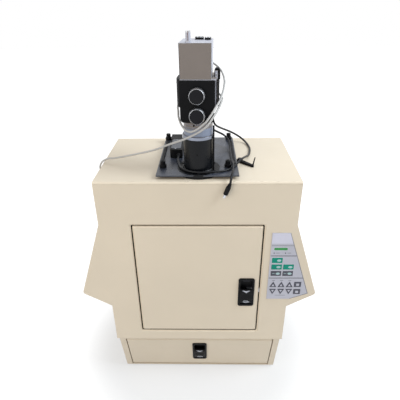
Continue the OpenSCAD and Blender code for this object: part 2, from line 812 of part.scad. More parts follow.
module cord(route, d, sides) {
    t = tangents(route);
    s = carried(t, [0, 0, 1]);
    rings = len(route);
    points = [for (i = [0:rings - 1], k = [0:sides - 1])
        let (w = 360*k/sides) route[i] + d/2*(cos(w)*s[i] + sin(w)*cross(t[i], s[i]))];
    walls = [for (i = [0:rings - 2], k = [0:sides - 1])
        let (a = i*sides + k, b = i*sides + (k + 1) % sides) [a, a + sides, b + sides, b]];
    first = [for (k = [0:sides - 1]) k];
    last = [for (k = [sides - 1:-1:0]) (rings - 1)*sides + k];
    polyhedron(concat(points), concat(walls, [first, last]));
}

black_d = 5;
gray_d = 4.5;

// Out of the back of the lens housing, down on the roof at the right, round the tube's foot
// and into the terminal box on the plate.
lead_route = [
    [28, -52, 790], [30.5, -36, 788.5], [33.5, -20, 778], [36, -5, 760], [39, 12, 738],
    [46, 36, 721], [58, 62, 707], [71, 84, 695], [86, 100, 684], [102, 112, 672], [117, 112, 662],
    [128, 99, 655], [134, 77, 652.5], [135, 45, 652.5], [128, 6, 653], [117, -24, 660],
    [106, -50, 665], [93, -74, 663], [79, -100, 662.5], [58, -116, 662.5], [32, -124, 664],
    [6, -127, 664], [-19, -119.5, 664], [-36, -102.5, 664], [-43, -78, 664], [-47, -56, 666],
    [-47, -38, 669]];

// Out of the back of the lens housing beside it, forward over the plate and the front edge.
plug_route = [
    [14, -51.5, 790], [16, -36, 788.5], [19.5, -19, 776], [25, -5, 752], [31, 8, 729],
    [39, 22, 715], [51, 42, 702], [64, 56, 691], [75, 53, 682], [80, 38, 674], [81, 14, 666],
    [82, -42, 663], [83, -66, 665], [83.5, -86, 668.5], [80, -126, 668], [77.5, -140, 667],
    [75.6, -150, 663], [74.2, -155, 657], [73, -156.5, 650]];

// Out of the camera, twice round the housing, over the roof's left edge, across the wing
// and down to the bench behind the cabinet.
gray_route = [
    [17, -26, 890], [18, -17, 890], [22, -9.5, 888.5], [29, -3.5, 884], [38, -1.5, 877],
    [48, -4.5, 869.5], [55.5, -12, 861.5], [60, -24, 852.5], [61.5, -38, 843], [59.5, -54, 834],
    [56.5, -72, 827.5], [53, -90, 823.5], [50.5, -107, 820.5], [46, -121, 816.5], [40, -132, 810],
    [34.5, -141, 803], [27, -148, 793.5], [19, -151, 784], [0.5, -150, 769], [-13, -142, 762.5],
    [-23, -130, 763], [-30.5, -118, 767.5], [-36, -105, 774], [-39.5, -92, 781], [-40.5, -78, 788],
    [-42, -64, 796], [-35, -51, 804], [-21, -43, 811], [20, -37, 819], [38, -42, 820.5],
    [50, -54, 820], [54.5, -70, 817], [55.5, -88, 817.5], [52.5, -105, 814.5], [49, -119, 810.5],
    [44.5, -130, 805], [39.5, -140, 799], [32.5, -148, 790.5], [25, -153, 781], [17.5, -155, 774],
    [5.5, -153, 765], [-9, -145, 755], [-29, -134, 742.5], [-62, -115, 725], [-106, -88, 700.5],
    [-194, -47, 668], [-220, -38, 662], [-238, -29, 650], [-249, -17, 630], [-251, 4, 600],
    [-244, 28, 568], [-243, 52, 530], [-253, 74, 492], [-283, 108, 403], [-309, 130, 318],
    [-307, 142, 245], [-296, 158, 150], [-266, 184, 34], [-240, 204, 8], [-208, 226, 2.6],
    [-165, 238, 2.6]];
coil_at = [-160, 200];
coil_r = 33;                // middle of the turns
coil_rows = 3;
coil_layers = 2;

module black_cables() color(black) {
    cord(lead_route, black_d, 8);
    cord(plug_route, black_d, 8);
}

module gray_cable() color([0.78, 0.75, 0.72]) cord(gray_route, gray_d, 8);

module gray_coil() {
    half = coil_rows*gray_d/2;
    color([0.78, 0.75, 0.72]) translate(concat(coil_at, [0])) rotate_extrude()
        translate([coil_r - half, 0]) square([2*half, coil_layers*gray_d]);
}

// A straight connector along +X from the cord's end: strain relief, grip and metal nose.
module plug(r, length, nose_r, nose) {
    color(black) rotate([0, 90, 0]) rotate_extrude() polygon([[0, 0], [0.6*r, 0], [0.8*r, 0.3*length],
        [r, 0.34*length], [r, 0.92*length], [0.85*r, length], [0, length]]);
    color(steel) translate([length, 0, 0]) rotate([0, 90, 0]) cylinder(r = nose_r, h = nose);
}

plug_tilt = 69;             // how steeply the black plug hangs over the front edge
module black_plug() translate(plug_route[len(plug_route) - 1])
    rotate([0, 0, 180]) rotate([0, plug_tilt, 0]) plug(5.5, 30, 3.5, 7);
module gray_plug() translate(concat(coil_at + [41.5, -8], [6.6])) rotate([0, 0, -70]) plug(6.5, 24, 6, 11);

front_panel();
side_shells();
roof_panel();
back_panel();
base_shell();
chamber_floor();
door_surround();
hinge_pivots();
feet();
epi_lamps();
power_inlet();
power_switch();
screws();
door_panel();
door_liner();
door_seal();
door_latch_bezel();
door_latch_paddle();
door_latch_tongue();
drawer_rails();
drawer_runners();
drawer_front();
drawer_tray();
stage_frame();
filter_glass();
uv_tubes();
uv_reflector();
ballasts();
drawer_latch_bezel();
drawer_latch_paddle();
drawer_latch_tongue();
keypad_plate();
key_uv_lamp();
key_white_lamp();
key_prep();
key_lock();
key_mute();
key_zoom_in();
key_focus_in();
key_iris_open();
key_freeze();
key_zoom_out();
key_focus_out();
key_iris_close();
key_print();
mounting_plate();
plate_fittings();
tower_tube();
zoom_lens();
lens_housing();
zoom_knob();
focus_knob();
camera_body();
camera_connectors();
clamp_lever();
black_cables();
black_plug();
gray_cable();
gray_coil();
gray_plug();
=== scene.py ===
import bpy, bmesh, math
from mathutils import Vector, Matrix


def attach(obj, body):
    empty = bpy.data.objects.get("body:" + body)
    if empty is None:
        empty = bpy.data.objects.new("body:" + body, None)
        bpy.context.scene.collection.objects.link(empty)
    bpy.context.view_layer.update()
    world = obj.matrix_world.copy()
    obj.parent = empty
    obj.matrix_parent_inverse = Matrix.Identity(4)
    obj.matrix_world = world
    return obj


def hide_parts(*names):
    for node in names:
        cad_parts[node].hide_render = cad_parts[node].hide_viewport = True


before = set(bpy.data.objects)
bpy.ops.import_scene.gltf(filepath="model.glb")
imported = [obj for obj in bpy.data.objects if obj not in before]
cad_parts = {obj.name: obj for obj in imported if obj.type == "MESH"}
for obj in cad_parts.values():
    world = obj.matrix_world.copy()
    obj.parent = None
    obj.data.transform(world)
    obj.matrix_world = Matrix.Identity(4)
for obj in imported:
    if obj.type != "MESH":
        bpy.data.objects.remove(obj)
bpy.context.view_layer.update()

MM = 0.001
scene = bpy.context.scene
IDENTITY = Matrix.Identity(4)

# Places of the CAD solids that the detail pieces sit on, in millimetres.
FRONT_Y = -149
BACK_Y = 149
BASE_Y = FRONT_Y + 4        # front edge of the base under the body
LINE_Z = 166                # line between the body and the base
FRONT_LEAN = 13.7           # backward lean of the drawer front, in degrees
LATCH_AT = (122.5, 336)     # middle of the door latch, X and Z
DRAWER_LATCH_DOWN = 77      # middle of the drawer latch below that line, along the lean
STAGE_Y = -8                # middle of the ultraviolet stage
LENS_AT = (3, -87)          # axis of the tube and the lens
HOUSING_AT = (2, -129)      # middle of the lens housing's front face
CAMERA_AT = (-0.5, -127.5)  # middle of the camera's front face
TOWER_YAW = 3               # turn of the housing and the camera to the left, in degrees
PLATE_TOP = 661
CAMERA_TOP = 932
KNOBS = (("zoom_knob", 834, "zoom_control"), ("focus_knob", 793.5, "focus_control"))
PLATE_SCREWS = ((-80, 62), (71, 64), (-84, 256), (82, 258))  # X, and Y behind the front face

# ---- camera ---------------------------------------------------------------
PICTURE = 400               # width of the picture in pixels
FOCAL = 380.84              # focal length in pixels
PITCH, ROLL, YAW = 0.4923, -0.0114, -0.0209
EYE = Vector((0.02223, -0.90459, 1.01135))
forward = Vector((math.sin(YAW)*math.cos(PITCH), math.cos(YAW)*math.cos(PITCH), -math.sin(PITCH)))
right = Vector((math.cos(YAW), -math.sin(YAW), 0))
up = right.cross(forward)
camera_x = math.cos(ROLL)*right + math.sin(ROLL)*up
camera_y = -math.sin(ROLL)*right + math.cos(ROLL)*up
camera = bpy.data.cameras.new("camera")
camera.sensor_width = 36
camera.lens = FOCAL*camera.sensor_width/PICTURE
camera.clip_start = 0.01
cam = bpy.data.objects.new("camera", camera)
cam.matrix_world = Matrix((
    (camera_x.x, camera_y.x, -forward.x, EYE.x),
    (camera_x.y, camera_y.y, -forward.y, EYE.y),
    (camera_x.z, camera_y.z, -forward.z, EYE.z),
    (0, 0, 0, 1)))
scene.collection.objects.link(cam)
scene.camera = cam


# ---- materials ------------------------------------------------------------
def lin(r, g, b):
    return tuple((c/255/12.92 if c/255 <= 0.04045 else ((c/255 + 0.055)/1.055)**2.4) for c in (r, g, b))


def shade(c, k):
    return tuple(min(1.0, v*k) for v in c) + (1.0,)


class Nodes:
    def __init__(self, name):
        self.mat = bpy.data.materials.new(name)
        self.mat.use_nodes = True
        self.tree = self.mat.node_tree
        self.bsdf = self.tree.nodes["Principled BSDF"]
        self.coords = self.add("ShaderNodeTexCoord").outputs["Object"]

    def add(self, kind, **values):
        node = self.tree.nodes.new(kind)
        for key, value in values.items():
            setattr(node, key, value)
        return node

    def link(self, a, b):
        self.tree.links.new(a, b)

    def noise(self, scale, detail=3, rough=0.5, stretch=None):
        n = self.add("ShaderNodeTexNoise")
        n.inputs["Scale"].default_value = scale
        n.inputs["Detail"].default_value = detail
        n.inputs["Roughness"].default_value = rough
        if stretch:
            m = self.add("ShaderNodeMapping")
            m.inputs["Scale"].default_value = stretch
            self.link(self.coords, m.inputs["Vector"])
            self.link(m.outputs[0], n.inputs["Vector"])
        else:
            self.link(self.coords, n.inputs["Vector"])
        return n.outputs["Fac"]

    def spread(self, fac, low, high, lo=0.35, hi=0.65):
        m = self.add("ShaderNodeMapRange")
        m.inputs["From Min"].default_value = lo
        m.inputs["From Max"].default_value = hi
        m.inputs["To Min"].default_value = low
        m.inputs["To Max"].default_value = high
        self.link(fac, m.inputs["Value"])
        return m.outputs["Result"]

    def mix(self, fac, a, b):
        m = self.add("ShaderNodeMix", data_type="RGBA")
        self.link(fac, m.inputs["Factor"])
        for value, socket in ((a, m.inputs["A"]), (b, m.inputs["B"])):
            if isinstance(value, tuple):
                socket.default_value = value
            else:
                self.link(value, socket)
        return m.outputs["Result"]

    def bump(self, height, strength, distance, normal=None):
        b = self.add("ShaderNodeBump")
        b.inputs["Strength"].default_value = strength
        b.inputs["Distance"].default_value = distance
        self.link(height, b.inputs["Height"])
        if normal is not None:
            self.link(normal, b.inputs["Normal"])
        return b.outputs["Normal"]

    def round_edges(self, radius):
        n = self.add("ShaderNodeBevel", samples=4)
        n.inputs["Radius"].default_value = radius
        return n.outputs["Normal"]

    def edge_mask(self, radius, lo, hi):
        """1 where the surface bends within radius, 0 on flats."""
        soft = self.round_edges(radius)
        geo = self.add("ShaderNodeNewGeometry")
        dot = self.add("ShaderNodeVectorMath", operation="DOT_PRODUCT")
        self.link(soft, dot.inputs[0])
        self.link(geo.outputs["Normal"], dot.inputs[1])
        return self.spread(dot.outputs["Value"], 1.0, 0.0, lo, hi)


def surface(name, color, rough=(0.4, 0.5), vary=0.06, blotch=7.0, grain=900.0, bump=0.15, depth=0.0002,
            metallic=0.0, coat=0.0, edge=0.0008, wear=None, wear_amount=0.5, stretch=None, gloss=0.5):
    """A painted, moulded or metal surface: colour drift, fine grain, worn edges and uneven gloss."""
    n = Nodes(name)
    drift = n.noise(blotch, 4, 0.55, stretch)
    body = n.mix(n.spread(drift, 0.0, 1.0), shade(color, 1 - vary), shade(color, 1 + vary))
    if wear:
        mask = n.edge_mask(edge*1.6, 0.80, 0.97)
        patch = n.spread(n.noise(60, 4, 0.65), 0.0, wear_amount, 0.45, 0.62)
        both = n.add("ShaderNodeMath", operation="MULTIPLY")
        n.link(mask, both.inputs[0])
        n.link(patch, both.inputs[1])
        body = n.mix(both.outputs[0], body, wear + (1.0,))
    n.link(body, n.bsdf.inputs["Base Color"])
    n.link(n.spread(n.noise(blotch*9, 3, 0.6, stretch), rough[0], rough[1]), n.bsdf.inputs["Roughness"])
    n.bsdf.inputs["Metallic"].default_value = metallic
    n.bsdf.inputs["Coat Weight"].default_value = coat
    n.bsdf.inputs["Specular IOR Level"].default_value = gloss
    n.link(n.bump(n.noise(grain, 2, 0.5, stretch), bump, depth, n.round_edges(edge) if edge else None),
           n.bsdf.inputs["Normal"])
    return n.mat


CREAM = lin(226, 211, 188)
cream = surface("cream_paint", CREAM, (0.42, 0.52), 0.025, 4.0, 1400, 0.12, 0.0001, edge=0.0012,
                wear=lin(150, 125, 90), wear_amount=0.35)
black_paint = surface("black_paint", lin(13, 13, 15), (0.38, 0.50), 0.2, 9, 1200, 0.25, 0.0002, edge=0.0008,
                      wear=lin(96, 95, 94), wear_amount=0.35, gloss=0.10)
plate_paint = surface("plate_paint", lin(54, 58, 68), (0.26, 0.42), 0.34, 26, 420, 0.6, 0.0004, edge=0.0008,
                      wear=lin(130, 132, 138), wear_amount=0.6, gloss=0.6)
tube_black = surface("tube_anodised", lin(12, 14, 18), (0.24, 0.34), 0.15, 12, 2000, 0.10, 0.0001,
                     edge=0.0008, wear=lin(140, 140, 142), wear_amount=0.4, gloss=0.22)
black_plastic = surface("black_plastic", lin(13, 13, 15), (0.38, 0.50), 0.15, 15, 1600, 0.25, 0.0002,
                        edge=0.0010, wear=lin(60, 60, 62), wear_amount=0.3, gloss=0.14)
knob_plastic = surface("knob_plastic", lin(26, 26, 29), (0.46, 0.56), 0.10, 30, 1800, 0.25, 0.0002,
                       edge=0.0008, gloss=0.12)
rubber = surface("rubber", lin(24, 24, 25), (0.7, 0.85), 0.15, 30, 900, 0.4, 0.0003, edge=0.001, gloss=0.3)
foam = surface("foam_seal", lin(20, 20, 21), (0.9, 1.0), 0.2, 60, 1200, 0.9, 0.0008, edge=0.001, gloss=0.2)
steel = surface("zinc_steel", lin(176, 178, 184), (0.28, 0.44), 0.10, 40, 1500, 0.15, 0.0001, metallic=1.0,
                stretch=(1, 1, 8))
aluminium = surface("brushed_aluminium", lin(200, 202, 206), (0.22, 0.34), 0.05, 40, 2500, 0.15, 0.0001,
                    metallic=1.0, stretch=(1, 1, 10))
chrome = surface("chrome_ring", lin(225, 226, 230), (0.08, 0.16), 0.03, 40, 1500, 0.03, 0.0001,
                 metallic=1.0)
reflector = surface("white_reflector", lin(232, 232, 228), (0.3, 0.4), 0.04, 20, 900, 0.1, 0.0001)
lamp_glass = surface("lamp_coating", lin(236, 236, 240), (0.12, 0.2), 0.03, 20, 900, 0.03, 0.0001, coat=0.5)
overlay = surface("keypad_overlay", lin(190, 189, 199), (0.40, 0.50), 0.03, 18, 2600, 0.30, 0.0002,
                  edge=0.0006)
overlay_dark = surface("overlay_print", lin(70, 70, 78), (0.42, 0.5), 0.08, 40, 2600, 0.3, 0.0002, edge=0)
overlay_light = surface("overlay_light", lin(214, 214, 222), (0.42, 0.5), 0.04, 40, 2600, 0.3, 0.0002,
                        edge=0)
sticker = surface("blank_sticker", lin(212, 210, 224), (0.30, 0.38), 0.03, 25, 1500, 0.1, 0.0001, edge=0)
teal = surface("teal_key", lin(0, 138, 116), (0.38, 0.46), 0.06, 40, 2600, 0.3, 0.0002, edge=0.0005,
               gloss=0.25)
slate = surface("slate_key", lin(84, 84, 94), (0.38, 0.46), 0.08, 40, 2600, 0.3, 0.0002, edge=0.0005,
                gloss=0.25)
green_field = surface("green_field", lin(66, 146, 84), (0.40, 0.48), 0.10, 60, 2600, 0.3, 0.0002, edge=0,
                      gloss=0.25)
key_pale = surface("key_pale", lin(172, 200, 200), (0.38, 0.46), 0.04, 40, 2600, 0.3, 0.0002, edge=0)
mark_paint = surface("pad_printed_mark", lin(186, 188, 196), (0.45, 0.55), 0.10, 60, 1200, 0.2, 0.0001,
                     edge=0)
camera_paint = surface("camera_paint", lin(126, 116, 109), (0.42, 0.50), 0.04, 14, 1800, 0.2, 0.0001,
                       edge=0.0009, wear=lin(190, 186, 180), wear_amount=0.4)
camera_cover_paint = surface("camera_cover_paint", lin(184, 184, 193), (0.38, 0.46), 0.03, 14, 1800, 0.15,
                             0.0001, edge=0.0008, wear=lin(150, 148, 150), wear_amount=0.4)
lens_paint = surface("lens_barrel", lin(132, 122, 114), (0.34, 0.42), 0.05, 14, 1500, 0.12, 0.0001,
                     edge=0.0008, wear=lin(120, 112, 104), wear_amount=0.5)
lens_silver = surface("lens_ring", lin(140, 146, 160), (0.30, 0.40), 0.06, 30, 1500, 0.1, 0.0001,
                      metallic=1.0)
barrel_blue = surface("barrel_sleeve", lin(132, 140, 158), (0.30, 0.40), 0.06, 30, 1500, 0.1, 0.0001,
                      edge=0.0006)
ballast_grey = surface("ballast_case", lin(150, 150, 148), (0.4, 0.5), 0.06, 20, 900, 0.2, 0.0002)
# Brown painted shade for the slot down the front of the aerial.
slot_shade_brown = surface("aerial_slot_shade", lin(110, 82, 74), (0.4, 0.5), 0.1, 40, 1500, 0.15, 0.0001, edge=0)
black_pvc = surface("black_sheath", lin(20, 21, 24), (0.32, 0.44), 0.15, 50, 1500, 0.15, 0.0001, edge=0,
                    gloss=0.25)
gray_pvc = surface("gray_sheath", lin(186, 183, 179), (0.40, 0.50), 0.06, 30, 1500, 0.12, 0.0001, edge=0)


def filter_material():
    n = Nodes("uv_filter_glass")
    tint = n.mix(n.spread(n.noise(9, 4), 0, 1), lin(30, 18, 52) + (1,), lin(44, 28, 70) + (1,))
    n.link(tint, n.bsdf.inputs["Base Color"])
    n.link(n.spread(n.noise(120, 5, 0.7), 0.04, 0.14), n.bsdf.inputs["Roughness"])
    n.bsdf.inputs["Transmission Weight"].default_value = 0.35
    n.bsdf.inputs["Coat Weight"].default_value = 0.6
    return n.mat


filter_glass = filter_material()

FINISH = {
    cream: ["front_panel", "side_shells", "roof_panel", "back_panel", "base_shell", "door_panel",
            "drawer_front"],
    black_paint: ["chamber_floor", "door_surround", "door_liner", "lens_housing", "clamp_lever",
                  "stage_frame", "plate_fittings"],
    plate_paint: ["mounting_plate"],
    tube_black: ["tower_tube"],
    black_plastic: ["door_latch_bezel", "door_latch_paddle", "drawer_latch_bezel", "drawer_latch_paddle",
                    "power_inlet", "power_switch", "screws", "black_plug"],
    knob_plastic: ["zoom_knob", "focus_knob"],
    rubber: ["feet"],
    foam: ["door_seal"],
    steel: ["hinge_pivots", "drawer_rails", "drawer_runners", "drawer_tray", "door_latch_tongue",
            "drawer_latch_tongue"],
    reflector: ["epi_lamps", "uv_reflector"],
    lamp_glass: ["uv_tubes"],
    filter_glass: ["filter_glass"],
    ballast_grey: ["ballasts"],
    overlay: ["keypad_plate"],
    teal: ["key_uv_lamp", "key_white_lamp", "key_prep"],
    slate: ["key_lock", "key_mute", "key_zoom_in", "key_focus_in", "key_iris_open", "key_freeze",
            "key_zoom_out", "key_focus_out", "key_iris_close", "key_print"],
    camera_paint: ["camera_body"],
    lens_paint: ["zoom_lens"],
    aluminium: ["camera_connectors"],
}
for material, nodes in FINISH.items():
    for node in nodes:
        ob = bpy.data.objects[node]
        if not ob.material_slots:
            ob.data.materials.append(material)
        for s in ob.material_slots:
            s.material = material


# ---- mesh helpers (millimetres in, metres out) ------------------------------
def make(name, verts, faces, material, body, at=IDENTITY, bevel=0.0, smooth=0.0):
    me = bpy.data.meshes.new(name)
    me.from_pydata([tuple((at @ Vector(v))*MM) for v in verts], [], faces)
    me.update()
    bm = bmesh.new()
    bm.from_mesh(me)
    bmesh.ops.recalc_face_normals(bm, faces=bm.faces)
    if bevel:
        sharp = [e for e in bm.edges if len(e.link_faces) == 2 and e.calc_face_angle() > 0.5]
        bmesh.ops.bevel(bm, geom=sharp, offset=bevel*MM, segments=2, affect="EDGES", clamp_overlap=True)
    bm.to_mesh(me)
    bm.free()
    ob = bpy.data.objects.new(name, me)
    ob.data.materials.append(material)
    scene.collection.objects.link(ob)
    if smooth:
        me.polygons.foreach_set("use_smooth", [True]*len(me.polygons))
        me.set_sharp_from_angle(angle=math.radians(smooth))
    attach(ob, body)
    return ob


def prism(name, outline, y0, y1, material, body, **more):
    """A 2D outline in X and Z, solid between the planes y0 and y1."""
    n = len(outline)
    verts = [(x, y0, z) for x, z in outline] + [(x, y1, z) for x, z in outline]
    faces = [list(range(n)), list(range(2*n - 1, n - 1, -1))]
    faces += [[i, (i + 1) % n, n + (i + 1) % n, n + i] for i in range(n)]
    return make(name, verts, faces, material, body, **more)


def frame_prism(name, outer, inner, y0, y1, material, body, **more):
    """A flat ring between two outlines with as many points each."""
    n = len(outer)
    verts = [(x, y, z) for y in (y0, y1) for line in (outer, inner) for x, z in line]
    faces = []
    for i in range(n):
        j = (i + 1) % n
        faces += [[i, j, n + j, n + i], [2*n + i, 3*n + i, 3*n + j, 2*n + j],
                  [i, 2*n + i, 2*n + j, j], [n + i, n + j, 3*n + j, 3*n + i]]
    return make(name, verts, faces, material, body, **more)


def lathe(name, profile, material, body, at, around=48, smooth=35, **more):
    """A profile of (radius, height) turned about the local Z axis; it ends there or closes."""
    verts, faces, rings = [], [], []
    for r, h in profile:
        if r < 1e-6:
            rings.append([len(verts)])
            verts.append((0, 0, h))
        else:
            rings.append(list(range(len(verts), len(verts) + around)))
            verts += [(r*math.cos(2*math.pi*k/around), r*math.sin(2*math.pi*k/around), h)
                      for k in range(around)]
    closed = profile[0][0] > 1e-6
    pairs = list(zip(rings, rings[1:])) + ([(rings[-1], rings[0])] if closed else [])
    for a, b in pairs:
        for k in range(around):
            j = (k + 1) % around
            if len(a) == 1 and len(b) == 1:
                continue
            if len(a) == 1:
                faces.append([a[0], b[j], b[k]])
            elif len(b) == 1:
                faces.append([a[k], a[j], b[0]])
            else:
                faces.append([a[k], a[j], b[j], b[k]])
    return make(name, verts, faces, material, body, at=at, smooth=smooth, **more)


def rounded_rect(mid_x, mid_z, w, h, r, steps=5):
    pts = []
    for sx, sz, a0 in ((1, 1, 0), (-1, 1, 90), (-1, -1, 180), (1, -1, 270)):
        for k in range(steps + 1):
            a = math.radians(a0 + 90*k/steps)
            pts.append((mid_x + sx*(w/2 - r) + r*math.cos(a), mid_z + sz*(h/2 - r) + r*math.sin(a)))
    return pts


def ellipse(mid_x, mid_z, w, h, steps=24):
    return [(mid_x + w/2*math.cos(2*math.pi*k/steps), mid_z + h/2*math.sin(2*math.pi*k/steps))
            for k in range(steps)]


def knurl(n, r_crest, r_root):
    """A closed ring of n ridges, starting in a root."""
    radii = (r_root, r_crest)
    return [(radii[k % 2]*math.cos(math.pi*k/n), radii[k % 2]*math.sin(math.pi*k/n)) for k in range(2*n)]


# Faces of a box: its four lower corners first, its four upper ones after.
BOX = [[3, 2, 1, 0], [4, 5, 6, 7], [0, 1, 5, 4], [1, 2, 6, 5], [2, 3, 7, 6], [3, 0, 4, 7]]


def facing(origin, z_axis, x_hint=(1, 0, 0)):
    """Matrix whose local Z points along z_axis."""
    z = Vector(z_axis).normalized()
    x = Vector(x_hint)
    x = (x - x.dot(z)*z).normalized()
    y = z.cross(x)
    return Matrix(((x.x, y.x, z.x, origin[0]), (x.y, y.y, z.y, origin[1]), (x.z, y.z, z.z, origin[2]),
                   (0, 0, 0, 1)))


# ---- cords ------------------------------------------------------------------
def through(points, step=4.0):
    """A smooth line through the points, a few millimetres between its own points."""
    p = [Vector(q) for q in points]
    out = []
    for i in range(len(p) - 1):
        a, b, c, d = p[max(i - 1, 0)], p[i], p[i + 1], p[min(i + 2, len(p) - 1)]
        n = max(2, int((c - b).length/step))
        for k in range(n):
            t = k/n
            out.append(0.5*((2*b) + (c - a)*t + (2*a - 5*b + 4*c - d)*t*t + (3*b - a - 3*c + d)*t**3))
    out.append(p[-1])
    return out


def cord(name, line, d, material):
    curve = bpy.data.curves.new(name, "CURVE")
    curve.dimensions = "3D"
    curve.bevel_depth = d/2*MM
    curve.bevel_resolution = 4
    curve.use_fill_caps = True
    spline = curve.splines.new("POLY")
    spline.points.add(len(line) - 1)
    for q, v in zip(spline.points, line):
        q.co = (v.x*MM, v.y*MM, v.z*MM, 1)
    spline.use_smooth = True
    curve.materials.append(material)
    ob = bpy.data.objects.new(name, curve)
    scene.collection.objects.link(ob)
    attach(ob, "cabinet")
    return ob


LEAD = [(28, -52, 790), (30.5, -36, 788.5), (33.5, -20, 778), (36, -5, 760), (39, 12, 738), (46, 36, 721),
        (58, 62, 707), (71, 84, 695), (86, 100, 684), (102, 112, 672), (117, 112, 662), (128, 99, 655),
        (134, 77, 652.5), (135, 45, 652.5), (128, 6, 653), (117, -24, 660), (106, -50, 665), (93, -74, 663),
        (79, -100, 662.5), (58, -116, 662.5), (32, -124, 664), (6, -127, 664), (-19, -119.5, 664),
        (-36, -102.5, 664), (-43, -78, 664), (-47, -56, 666), (-47, -38, 669)]
PLUG = [(14, -51.5, 790), (16, -36, 788.5), (19.5, -19, 776), (25, -5, 752), (31, 8, 729), (39, 22, 715),
        (51, 42, 702), (64, 56, 691), (75, 53, 682), (80, 38, 674), (81, 14, 666), (82, -42, 663),
        (83, -66, 665), (83.5, -86, 668.5), (80, -126, 668), (77.5, -140, 667), (75.6, -150, 663),
        (74.2, -155, 657), (73, -156.5, 650)]
GRAY = [(17, -26, 890), (18, -17, 890), (22, -9.5, 888.5), (29, -3.5, 884), (38, -1.5, 877),
        (48, -4.5, 869.5),
        (55.5, -12, 861.5), (60, -24, 852.5), (61.5, -38, 843), (59.5, -54, 834), (56.5, -72, 827.5),
        (53, -90, 823.5), (50.5, -107, 820.5), (46, -121, 816.5), (40, -132, 810), (34.5, -141, 803),
        (27, -148, 793.5), (19, -151, 784), (0.5, -150, 769), (-13, -142, 762.5), (-23, -130, 763),
        (-30.5, -118, 767.5), (-36, -105, 774), (-39.5, -92, 781), (-40.5, -78, 788), (-42, -64, 796),
        (-35, -51, 804), (-21, -43, 811), (20, -37, 819), (38, -42, 820.5), (50, -54, 820),
        (54.5, -70, 817),
        (55.5, -88, 817.5), (52.5, -105, 814.5), (49, -119, 810.5), (44.5, -130, 805), (39.5, -140, 799),
        (32.5, -148, 790.5), (25, -153, 781), (17.5, -155, 774), (5.5, -153, 765), (-9, -145, 755),
        (-29, -134, 742.5), (-62, -115, 725), (-106, -88, 700.5), (-194, -47, 668), (-220, -38, 662),
        (-238, -29, 650), (-249, -17, 630), (-251, 4, 600), (-244, 28, 568), (-243, 52, 530),
        (-253, 74, 492),
        (-283, 108, 403), (-309, 130, 318), (-307, 142, 245), (-296, 158, 150), (-266, 184, 34),
        (-240, 204, 8), (-208, 226, 2.6), (-165, 238, 2.6)]
COIL = Vector((-160, 200, 0))

# Turns of the coil, clockwise from above: in along the bench, then back out on top.
turns = []
start, last = 97.5, -10.8 - 5*360
steps = int((start - last)/15)
for k in range(1, steps + 1):
    a = start + (last - start)*k/steps
    done = (start - a)/360
    if done < 2.4:
        r, z = 37.5 - 4.5*max(0.0, min(2.0, done - 0.2)), 2.6
    elif done < 3.0:
        r, z = 28.5, 2.6 + 4.15*min(1.0, (done - 2.4)/0.5)
    else:
        r, z = 28.5 + 4.5*max(0.0, min(2.0, done - 3.1)), 6.75
    tail = max(0.0, (done - (start - last)/360 + 0.12)/0.12)
    r, z = r + 4.8*tail, z - 0.15*tail
    turns.append(tuple(COIL + Vector((r*math.cos(math.radians(a)), r*math.sin(math.radians(a)), z))))

lead_line = through(LEAD)
plug_line = through(PLUG)
# The smooth line swings no further out, back or down than the solid cable.
gray_line = [Vector((max(v.x, -308.9), min(v.y, 237.8), max(v.z, 2.3))) for v in through(GRAY + turns)]
lead = cord("lens_lead", lead_line, 5, black_pvc)
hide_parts("black_cables")
plug_cord = cord("plug_lead", plug_line, 5, black_pvc)
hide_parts("black_cables")
video = cord("video_cable", gray_line, 4.5, gray_pvc)
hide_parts("gray_cable", "gray_coil")


# ---- plugs -------------------------------------------------------------------
def black_plug():
    a = math.radians(69)
    place = facing(PLUG[-1], (-math.cos(a), 0, -math.sin(a)), (0, 1, 0))
    ribs = []
    for k in range(6):
        ribs += [(3.4 + 0.22*k, 1.4*k), (3.4 + 0.22*k, 1.4*k + 0.9), (3.0 + 0.22*k, 1.4*k + 0.95),
                 (3.0 + 0.22*k, 1.4*k + 1.35)]
    grip = lathe("plug_grip", [(0, 0)] + ribs + [(4.9, 8.6), (5.4, 9.6), (5.4, 27), (4.9, 28.4), (0, 28.4)],
                 black_plastic, "cabinet", place)
    nose = lathe("plug_nose", [(0, 28.2), (4.3, 28.2), (4.3, 29.2), (3.5, 29.3), (3.5, 36.6), (3.1, 37),
                               (2.9, 37), (2.9, 31), (0, 31)], aluminium, "cabinet", place, around=32)
    pin = [(0, 31), (0.5, 31), (0.5, 35.4), (0.2, 35.9), (0, 35.9)]
    pins = [lathe(f"plug_pin_{k}", pin, aluminium, "cabinet",
                  place @ Matrix.Translation((1.5*math.cos(k*1.57), 1.5*math.sin(k*1.57), 0)), around=12)
            for k in range(4)]
    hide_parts("black_plug")
    return [grip, nose] + pins


def gray_plug():
    origin = COIL + Vector((41.5, -8, 6.6))
    a = math.radians(-70)
    place = facing(origin, (math.cos(a), math.sin(a), 0), (0, 0, 1))
    boot = lathe("video_plug_boot", [(0, 0), (2.9, 0), (3.6, 2), (3.4, 2.6), (4.2, 4.6), (4.0, 5.2),
                                     (5.0, 8), (6.3, 8.3),
                                     (6.5, 9), (6.5, 22), (6.0, 24), (0, 24)], gray_pvc, "cabinet", place)
    collar = [(0, 23.5), (5.6, 23.5), (6.0, 24.2), (6.0, 34), (5.6, 35), (4.9, 35), (4.9, 27), (0, 27)]
    sleeve = lathe("video_plug_collar", collar, aluminium, "cabinet", place)
    pin = lathe("video_plug_pin", [(0, 27), (1.0, 27), (1.0, 33), (0.5, 34), (0, 34)], chrome, "cabinet",
                place, around=16)
    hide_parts("gray_plug")
    return [boot, sleeve, pin]


black_parts = black_plug()
gray_parts = gray_plug()

